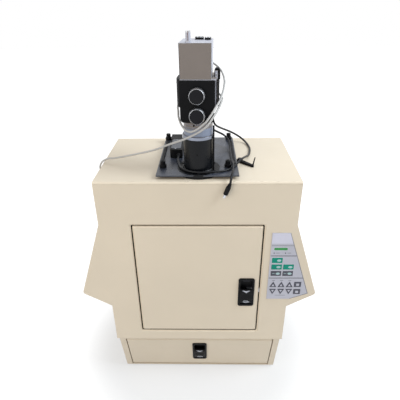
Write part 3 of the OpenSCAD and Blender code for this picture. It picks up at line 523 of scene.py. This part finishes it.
# ---- stage and light -----------------------------------------------------------
def light(name, kind, location, aim, power, size, color=(1, 1, 1)):
    data = bpy.data.lights.new(name, kind)
    data.energy = power
    data.color = color
    if kind == "AREA":
        data.shape = "RECTANGLE"
        data.size, data.size_y = size
    ob = bpy.data.objects.new(name, data)
    ob.location = location
    ob.rotation_euler = (Vector(aim) - Vector(location)).to_track_quat("-Z", "Y").to_euler()
    scene.collection.objects.link(ob)


def seen(tree):
    """1 for rays that show the backdrop: straight, in a reflection or through glass."""
    path = tree.nodes.new("ShaderNodeLightPath")
    either = None
    for name in ("Is Camera Ray", "Is Glossy Ray", "Is Transmission Ray"):
        if either is None:
            either = path.outputs[name]
            continue
        top = tree.nodes.new("ShaderNodeMath")
        top.operation = "MAXIMUM"
        tree.links.new(either, top.inputs[0])
        tree.links.new(path.outputs[name], top.inputs[1])
        either = top.outputs[0]
    return either


def floor():
    """A pale floor that keeps the object's shadow and fades to white away from it."""
    me = bpy.data.meshes.new("floor")
    me.from_pydata([(-6, -4, 0), (6, -4, 0), (6, 8, 0), (-6, 8, 0)], [], [(0, 1, 2, 3)])
    ob = bpy.data.objects.new("floor", me)
    m = bpy.data.materials.new("pale_floor")
    m.use_nodes = True
    t = m.node_tree
    t.nodes.clear()
    out = t.nodes.new("ShaderNodeOutputMaterial")
    diffuse = t.nodes.new("ShaderNodeBsdfDiffuse")
    diffuse.inputs["Color"].default_value = (0.62, 0.62, 0.62, 1)
    glow = t.nodes.new("ShaderNodeEmission")
    glow.inputs["Strength"].default_value = 1.25
    place = t.nodes.new("ShaderNodeTexCoord")
    reach = t.nodes.new("ShaderNodeVectorMath")
    reach.operation = "LENGTH"
    t.links.new(place.outputs["Object"], reach.inputs[0])
    white = t.nodes.new("ShaderNodeMapRange")
    white.interpolation_type = "SMOOTHSTEP"
    for name, value in (("From Min", 0.26), ("From Max", 0.46), ("To Min", 0.42), ("To Max", 0.92)):
        white.inputs[name].default_value = value
    t.links.new(reach.outputs["Value"], white.inputs["Value"])
    share = t.nodes.new("ShaderNodeMath")
    share.operation = "MULTIPLY"
    t.links.new(white.outputs["Result"], share.inputs[1])
    mix = t.nodes.new("ShaderNodeMixShader")
    t.links.new(seen(t), share.inputs[0])
    t.links.new(share.outputs[0], mix.inputs[0])
    t.links.new(diffuse.outputs[0], mix.inputs[1])
    t.links.new(glow.outputs[0], mix.inputs[2])
    t.links.new(mix.outputs[0], out.inputs["Surface"])
    me.materials.append(m)
    scene.collection.objects.link(ob)


floor()
world = bpy.data.worlds.new("studio")
world.use_nodes = True
tree = world.node_tree
tree.nodes.clear()
world_out = tree.nodes.new("ShaderNodeOutputWorld")
soft = tree.nodes.new("ShaderNodeBackground")
soft.inputs["Color"].default_value = (0.95, 0.975, 1.0, 1)
soft.inputs["Strength"].default_value = 0.50
white = tree.nodes.new("ShaderNodeBackground")
white.inputs["Color"].default_value = (1, 1, 1, 1)
white.inputs["Strength"].default_value = 1.0
either = tree.nodes.new("ShaderNodeMixShader")
tree.links.new(seen(tree), either.inputs[0])
tree.links.new(soft.outputs[0], either.inputs[1])
tree.links.new(white.outputs[0], either.inputs[2])
tree.links.new(either.outputs[0], world_out.inputs["Surface"])
scene.world = world

light("key", "AREA", (1.85, -0.50, 2.15), (0, 0, 0.5), 50, (1.1, 1.1), (0.84, 0.92, 1.0))
light("top", "AREA", (0.3, 0.8, 2.9), (0, 0, 0.6), 12, (1.6, 1.6), (0.84, 0.92, 1.0))
light("front_fill", "AREA", (-1.8, -1.9, 1.4), (0, 0, 0.35), 27, (2.0, 1.8), (1.0, 0.965, 0.91))
scene.view_settings.view_transform = "Standard"

# ---- detail pieces -------------------------------------------------------------
def latch_details(tag, body, paddle_body, place):
    """Marks and small mouldings of a paddle latch; local X right, Y into the panel, Z up."""
    def part(name, outline, y0, y1, material, b, **more):
        return prism(f"{tag}_{name}", outline, y0, y1, material, b, at=place, **more)
    chevron = [(-10, 8.4), (-5, 8.4), (0, 6.6), (5, 8.4), (10, 8.4), (3.2, 3.2), (0, 1.0), (-3.2, 3.2)]
    part("pull_mark", chevron, -4.72, -4.3, mark_paint, paddle_body, bevel=0.1)
    part("pull_bar", rounded_rect(0, -27.2, 12, 2.0, 0.9), -3.75, -3.3, mark_paint, paddle_body)
    arc = [(10.5*math.sin(math.radians(a)), -23 - 10.5*math.cos(math.radians(a)))
           for a in range(-48, 40, 8)]
    back = [(8.8*math.sin(math.radians(a)), -23 - 8.8*math.cos(math.radians(a)))
            for a in range(32, -56, -8)]
    arrow = [(9.0, -31.6), (9.6, -28.4), (5.2, -29.2)]
    part("pull_arc", arc + arrow + back, -3.45, -3.15, mark_paint, paddle_body)
    for k in range(4):
        part(f"grip_rib_{k}", rounded_rect(0, -9.5 - 3.6*k, 24, 1.2, 0.5), -4.95 + 0.18*k, -4.2,
             black_plastic, paddle_body, bevel=0.15)
    part("recess_bar", rounded_rect(1, 28.5, 17, 1.6, 0.7), 9.75, 10.0, slate, body)
    frame_prism(f"{tag}_rim", rounded_rect(0, 0, 38.2, 88.2, 5.2), rounded_rect(0, 0, 35.4, 85.4, 4.2),
                -3.45, -2.9, black_plastic, body, at=place, bevel=0.15)
    lip = [(-15.0, 9.9), (15.0, 9.9), (15.0, 8.7), (-15.0, 8.7)]
    part("paddle_lip", lip, -2.6, 0.8, black_plastic, paddle_body, bevel=0.3)
    cap = [(0, 0), (2.2, 0), (2.4, 0.3), (2.4, 0.8), (0, 0.8)]
    for s in (-1, 1):
        lathe(f"{tag}_pivot_cap_{'l' if s < 0 else 'r'}", cap,
              black_plastic, body, place @ facing((s*17.6, -2.6, -33), (0, -1, 0)), around=24)


front = Matrix.Translation((LATCH_AT[0], FRONT_Y, LATCH_AT[1]))
lean = Matrix.Rotation(math.radians(FRONT_LEAN), 4, "X")
lean_frame = Matrix.Translation((0, BASE_Y, LINE_Z)) @ lean @ Matrix.Translation((0, 0, -DRAWER_LATCH_DOWN))
latch_details("door_latch", "door", "door_paddle", front)
latch_details("drawer_latch", "drawer", "drawer_paddle", lean_frame)


# Keypad: its left and lower edges and its front face, then what is printed on it and on its keys.
PAD_X, PAD_Z, PAD_Y = 176, 315, FRONT_Y - 1.2


def pad_right(z):
    return PAD_X + 44 + (PAD_Z + 203 - z)*61/185


def pad_print(name, outline, material, thick=0.14, body="cabinet", y=PAD_Y, **more):
    return prism(name, outline, y - thick, y + 0.1, material, body, **more)


pad_print("blank_sticker", [(PAD_X + 1, PAD_Z + 202), (PAD_X + 43.2, PAD_Z + 202),
                            (pad_right(488) - 1.2, 488), (PAD_X + 1, 488)], sticker, 0.22, bevel=0.05)
for name, z, t in (("line_top", 482.5, 0.9), ("line_mid", 453, 1.9), ("line_low", 384.5, 1.9)):
    pad_print(name, [(PAD_X + 1.5, z), (pad_right(z) - 1.5, z), (pad_right(z - t) - 1.5, z - t),
                     (PAD_X + 1.5, z - t)], overlay_dark)
pad_print("edge_line", [(PAD_X + 43, PAD_Z + 202.6), (PAD_X + 43.8, PAD_Z + 202.6),
                        (PAD_X + 104.4, PAD_Z + 18.4), (PAD_X + 60, PAD_Z + 0.5),
                        (PAD_X + 59.6, PAD_Z + 1.3), (PAD_X + 103.1, PAD_Z + 19.0)], overlay_dark, 0.1)
pad_print("plain_strip", rounded_rect(PAD_X + 24, 472.5, 33, 7.6, 3.4), green_field, 0.12)
frame_prism("strip_outline", rounded_rect(PAD_X + 24, 472.5, 34.4, 9, 3.9),
            rounded_rect(PAD_X + 24, 472.5, 33, 7.6, 3.3), PAD_Y - 0.16, PAD_Y + 0.1, overlay_light,
            "cabinet")
for k, x in enumerate((PAD_X + 8.5, PAD_X + 36)):
    lathe(f"indicator_{k}", [(0, 0), (1.5, 0), (1.5, 0.35), (0.9, 0.55), (0, 0.6)], slate, "cabinet",
          facing((x, PAD_Y, 460.5), (0, -1, 0)), around=20)
    pad_print(f"indicator_tick_{k}", rounded_rect(x + 9, 460.5, 9, 1.0, 0.4), overlay_dark, 0.1)

WIDE = [("uv_lamp", 0, 2, teal), ("white_lamp", 0, 1, teal), ("prep", 1, 1, teal), ("lock", 0, 0, slate),
        ("mute", 1, 0, slate)]
KEY_Y = PAD_Y - 0.5         # front of a key at rest
WIDE_FROM, WIDE_STEP = (18, 83.2), (29.2, 20.2)
for name, col, row, mat in WIDE:
    x, z = PAD_X + WIDE_FROM[0] + WIDE_STEP[0]*col, PAD_Z + WIDE_FROM[1] + WIDE_STEP[1]*row
    pad_print(f"field_{name}", ellipse(x + 4.6, z - 0.2, 10.4, 6.8), key_pale, 0.12, f"button_{name}",
              KEY_Y)
    pad_print(f"dash_{name}", rounded_rect(x - 6.6, z, 6.5, 1.1, 0.5), key_pale if mat is slate else teal,
              0.08, f"button_{name}", KEY_Y)
    frame_prism(f"halo_{name}", rounded_rect(x, z, 27.9, 17.5, 1.6), rounded_rect(x, z, 26.3, 15.9, 0.8),
                PAD_Y - 0.12, PAD_Y + 0.1, overlay_light, "cabinet")
SMALL = [("zoom", "in", "out"), ("focus", "in", "out"), ("iris", "open", "close")]
SMALL_FROM, SMALL_STEP = 13.7, 20.7
UPPER, LOWER = 48, 24.5     # middles of the two rows of small keys above the keypad's lower edge
for i, (name, upper, lower) in enumerate(SMALL):
    x = PAD_X + SMALL_FROM + SMALL_STEP*i
    for s, height, label in ((1, UPPER, upper), (-1, LOWER, lower)):
        z = PAD_Z + height
        tri = [(x - 3.6, z - s*5.6), (x, z + s*1.8), (x + 3.6, z - s*5.6)]
        pad_print(f"inner_{name}_{label}", tri[::s], overlay, 0.12, f"button_{name}_{label}", KEY_Y)
    pad_print(f"tick_{name}", rounded_rect(x, PAD_Z + 60.5, 7.5, 1.0, 0.4), overlay_dark, 0.1)
for label, z in (("freeze", UPPER), ("print", LOWER)):
    x = PAD_X + SMALL_FROM + SMALL_STEP*3
    pad_print(f"inner_{label}", rounded_rect(x, PAD_Z + z - 0.5, 7.4, 7.2, 0.6), overlay, 0.12,
              f"button_{label}", KEY_Y)
pad_print("tick_low", rounded_rect(PAD_X + 34, PAD_Z + 12.2, 26, 0.9, 0.4), overlay_dark, 0.1)


# Camera tower. Its frame has X to the right and Y to the back, turned with the housing.
yaw = Matrix.Rotation(math.radians(-TOWER_YAW), 4, "Z")
tower = Matrix.Translation((*HOUSING_AT, 0)) @ yaw


def knob(tag, z, body):
    place = tower @ facing((0, 0, z), (0, -1, 0))
    teeth = knurl(72, 17.5, 17.1)
    m = len(teeth)
    verts = [(a*c, b*c, h) for h, c in ((3.3, 0.98), (3.8, 1), (8.4, 1), (9.0, 0.98)) for a, b in teeth]
    faces = [[r*m + i, r*m + (i + 1) % m, (r + 1)*m + (i + 1) % m, (r + 1)*m + i]
             for r in range(3) for i in range(m)]
    faces += [list(range(m - 1, -1, -1)), list(range(3*m, 4*m))]
    rim = make(f"{tag}_rim", verts, faces, aluminium, body, at=place)
    lathe(f"{tag}_cone", [(14, 8.5), (17.4, 8.5), (17.4, 9.0), (15.2, 12.7), (14.6, 12.9), (14, 12.9)],
          aluminium, body, place, around=72)
    lathe(f"{tag}_cap", [(0, 10.5), (14.9, 10.5), (14.9, 12.8), (14.6, 13.2), (13.8, 13.2), (13.4, 12.9),
                         (3.0, 12.75), (0, 12.7)], knob_plastic, body, place, around=72)
    lathe(f"{tag}_shaft", [(0, -7.5), (3, -7.5), (3, 3.5), (0, 3.5)], steel, body, place, around=24)
    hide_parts(tag)


for tag, z, body in KNOBS:
    knob(tag, z, body)


def screw(name, origin, axis, r, body, material=steel, place=IDENTITY, head=1.6):
    """Pan head screw with a cross slot on its top: black boxes set into the head, painted shade of the
    slot.
    """
    at = place @ facing(origin, axis, (0, 0, 1) if abs(axis[2]) < 0.5 else (1, 0, 0))
    lathe(name, [(0, -0.5), (r*0.55, -0.5), (r, 0), (r, head*0.45), (r*0.85, head*0.85), (r*0.45, head),
                 (0, head*0.98)], material, body, at, around=28)
    # The black boxes paint the slot's shade; the head itself is not cut.
    for k in (0, 1):
        w, l = r*0.16, r*0.62
        x, y = (l, w) if k else (w, l)
        corners = ((-x, -y), (x, -y), (x, y), (-x, y))
        make(f"{name}_slot_{k}", [(a, b, h) for h in (head*0.7, head + 0.03) for a, b in corners],
             BOX, black_plastic, body, at=at)


lens_axis = Matrix.Translation((*LENS_AT, 0))
for i, (x, z) in enumerate(((-29, 787), (29, 787), (-31, 857), (31, 857))):
    screw(f"housing_screw_{i}", (x, 0, z), (0, -1, 0), 2.0, "cabinet", black_paint, tower, 1.0)
for s in (-1, 1):
    for i, (y, z) in enumerate(((34, 816), (50, 816), (34, 853), (50, 853))):
        screw(f"case_screw_{'l' if s < 0 else 'r'}_{i}", (s*44, y, z), (s, 0, 0), 2.0, "cabinet", steel,
              tower, 1.0)
lathe("lens_set_screw", [(0, 0), (2.0, 0), (2.0, 0.6), (0, 0.6)], black_plastic, "cabinet",
      facing((LENS_AT[0] - 8.6, LENS_AT[1] - 30.9, 768), (-0.27, -0.96, 0)), around=20)
for k, z in enumerate((762, 768)):
    ring = [(31.75, z), (32.15, z + 0.1), (32.15, z + 1.2), (31.75, z + 1.3)]
    lathe(f"lens_groove_{k}", ring, lens_silver, "cabinet",
          lens_axis, around=72)
lathe("lens_sleeve", [(31.9, 742.4), (32.35, 742.6), (32.35, 759.4), (31.9, 759.6)], barrel_blue, "cabinet",
      lens_axis, around=96)
lathe("tube_collar", [(33.9, 735.2), (35.35, 735.4), (35.35, 741.8), (34.8, 742.2), (33.9, 742.2)],
      lens_silver, "cabinet", lens_axis, around=96)
screw("tube_screw", (LENS_AT[0] - 2, LENS_AT[1] - 33.6, 703), (-0.06, -1, 0), 1.8, "cabinet", black_paint,
      head=0.9)
lathe("tube_foot_bead", [(34, 661), (36.4, 661), (35.2, 662), (34, 663.6)], tube_black, "cabinet",
      lens_axis, around=96)
for k in range(6):
    a = math.radians(30 + 60*k)
    at = (LENS_AT[0] + 42.5*math.cos(a), LENS_AT[1] + 42.5*math.sin(a), PLATE_TOP)
    screw(f"flange_screw_{k}", at, (0, 0, 1), 2.6, "cabinet", black_paint, head=1.4)

# Camera: seams, screws, top connectors.
body_at = Matrix.Translation((*CAMERA_AT, 0)) @ yaw
laid_flat = Matrix.Rotation(math.radians(-90), 4, "X")
for i, (x, z) in enumerate(((-27.5, 872), (27.5, 872), (-27.5, 926), (27.5, 926))):
    screw(f"camera_screw_{i}", (x, 90, z), (0, 1, 0), 1.6, "cabinet", steel, body_at, 0.9)
seam = ((-31.62, 867.0), (31.62, 867.0), (31.62, 931.9), (-31.62, 931.9))
for k, y in enumerate((5.2, 84.0)):
    make(f"camera_seam_{k}", [(x, a, z) for a in (y, y + 0.6) for x, z in seam],
         BOX, black_plastic, "cabinet", at=body_at)
cover = [(-31.5, 868.5), (-31.5, 932), (31.5, 932), (31.5, 868.5)]
outer = [(-31.9, 868.5), (-31.9, 932.35), (31.9, 932.35), (31.9, 868.5)]
prism("camera_cover", outer + cover[::-1], 0.35, 89.6, camera_cover_paint, "cabinet", at=body_at, bevel=0.1)
frame_prism("camera_top_plate", rounded_rect(0, 0, 59, 86, 1.5), rounded_rect(0, 0, 57, 84, 1.0), -0.25,
            0.1, aluminium, "cabinet", at=body_at @ Matrix.Translation((0, 45, CAMERA_TOP)) @ laid_flat)
for k, x in enumerate((-29, 32)):
    screw(f"foot_screw_{k}", (x, 3, 864.7), (0, -1, 0), 1.2, "cabinet", steel, tower, 0.7)
prism("strip_front", [(36.0, 863.2), (41.0, 863.2), (41.0, 879), (36.0, 879)], 16.6, 17.1,
      camera_cover_paint, "cabinet", at=tower, bevel=0.1)
prism("strip_shade", [(35.8, 806.2), (41.2, 806.2), (41.2, 862.8), (35.8, 862.8)], 16.8, 17.1, black_paint,
      "cabinet", at=tower)
prism("strip_rib", [(36.2, 806.4), (38.6, 806.4), (38.6, 862.8), (36.2, 862.8)], 15.8, 17.0,
      camera_cover_paint, "cabinet", at=tower, bevel=0.2)
prism("foot_edge", [(-34.2, 863.1), (39.2, 863.1), (39.2, 866.4), (-34.2, 866.4)], 2.6, 3.1,
      camera_cover_paint, "cabinet", at=tower, bevel=0.15)
screw("strip_screw_0", (38.5, 17, 872), (0, -1, 0), 1.7, "cabinet", steel, tower, 0.9)


def top_socket(name, x, y, r, pins):
    at = body_at @ Matrix.Translation((x, y, CAMERA_TOP))
    lathe(f"{name}_shell", [(r - 1.7, 0), (r + 0.1, 0), (r + 0.1, 4.4), (r - 0.3, 5.1), (r - 1.7, 5.1)],
          black_paint, "cabinet", at, around=40)
    lathe(f"{name}_insert", [(0, 0), (r - 1.6, 0), (r - 1.6, 2.6), (0, 2.6)], black_plastic, "cabinet", at,
          around=40)
    for k in range(pins):
        a = 2*math.pi*k/pins
        lathe(f"{name}_pin_{k}", [(0, 1), (0.5, 1), (0.5, 4.4), (0, 4.8)], aluminium, "cabinet",
              at @ Matrix.Translation(((r - 3.6)*math.cos(a), (r - 3.6)*math.sin(a), 0)), around=10)


top_socket("power_socket", 4, 72, 9, 6)
top_socket("control_socket", 22, 62, 6.5, 4)
lathe("aerial_socket", [(0, 0), (6.1, 0), (6.1, 2.6), (4.7, 3.1), (4.7, 5.0), (5.0, 5.3), (5.0, 17.5),
                        (4.6, 18), (4.6, 20.9),
                        (3.3, 20.9), (3.3, 17.8), (0, 17.8)], camera_cover_paint, "cabinet",
      body_at @ Matrix.Translation((-14, 13, CAMERA_TOP)), around=36)
# The brown box down the aerial's front paints the shade of its slot.
slot_shade = ((-0.6, -5.15), (0.6, -5.15), (0.6, -4.3), (-0.6, -4.3))
make("aerial_slot", [(x, y, z) for z in (936, 952.9) for x, y in slot_shade], BOX, slot_shade_brown, "cabinet",
     at=body_at @ Matrix.Translation((-14, 13, 0)))
lathe("rear_connector_collar", [(0, 0), (7.2, 0), (7.2, 3.2), (5.6, 3.6), (5.4, 11.4), (4.4, 12.0),
                                (0, 12.0)],
      black_plastic, "cabinet", body_at @ facing((12, 90, 890), (0, 1, 0)), around=36)

# Thumb screws of the plate: knurled rims and slotted tops.
for i, (x, y) in enumerate(PLATE_SCREWS):
    ridges = knurl(28, 8.35, 7.9)
    m = len(ridges)
    verts = [(x + a, FRONT_Y + y + b, PLATE_TOP + h) for h in (0, 5.4) for a, b in ridges]
    faces = [list(range(m - 1, -1, -1)), list(range(m, 2*m))]
    faces += [[k, (k + 1) % m, m + (k + 1) % m, m + k] for k in range(m)]
    make(f"thumb_screw_rim_{i}", verts, faces, black_plastic, "cabinet")
    screw(f"thumb_screw_top_{i}", (x, FRONT_Y + y, PLATE_TOP + 15), (0, 0, 1), 3.4, "cabinet", black_paint,
          head=1.0)

# Fittings on the plate: cover screws, cable gland rings.
for i, y in enumerate((-22, 40)):
    screw(f"terminal_screw_{i}", (-55, y, 682), (0, 0, 1), 2.6, "cabinet", steel, head=1.2)
prism("terminal_cover", rounded_rect(0, 0, 24, 66, 6), -1.0, 0.2, plate_paint, "cabinet", bevel=0.3,
      at=Matrix.Translation((-54, 9, 682)) @ laid_flat)
for i, x in enumerate((8, 22)):
    lathe(f"housing_gland_{i}", [(2.5, 0), (5.6, 0), (5.8, 1.5), (5.2, 4.5), (3.4, 8.5), (2.5, 9)], rubber,
          "cabinet", tower @ facing((x, 72, 790), (0, 1, 0)), around=32)
lathe("terminal_gland", [(2.5, 0), (4.6, 0), (4.6, 2), (3.4, 7.5), (2.5, 8)], rubber, "cabinet",
      facing((-47, -32, 669), (0, -1, 0)), around=32)

# Lamp end caps inside, panel screws on the back, inlet frame.
for k in range(6):
    y = STAGE_Y + (k - 2.5)*30
    for s in (-1, 1):
        lathe(f"uv_cap_{k}_{'l' if s < 0 else 'r'}", [(0, 0), (7.95, 0), (7.95, 7.4), (6.6, 8.2), (0, 8.2)],
              aluminium, "drawer", facing((s*147, y, 131), (s, 0, 0), (0, 0, 1)), around=36)
for s in (-1, 1):
    for e in (-1, 1):
        lathe(f"lamp_cap_{'l' if s < 0 else 'r'}_{'f' if e < 0 else 'b'}",
              [(0, 0), (5.7, 0), (5.7, 8), (0, 8)], aluminium,
              "cabinet", facing((s*253, e*104, 338), (0, e, 0)), around=32)
    for z in (200, 420, 620):
        screw(f"back_screw_{'l' if s < 0 else 'r'}_{z}", (s*215, BACK_Y + 2.2, z), (0, 1, 0), 3.4,
              "cabinet", steel, head=0.7)
frame_prism("inlet_rim", rounded_rect(-165, 215, 82, 32, 3), rounded_rect(-165, 215, 78, 28, 2),
            BACK_Y + 2.2, BACK_Y + 2.95, black_plastic, "cabinet", bevel=0.1)
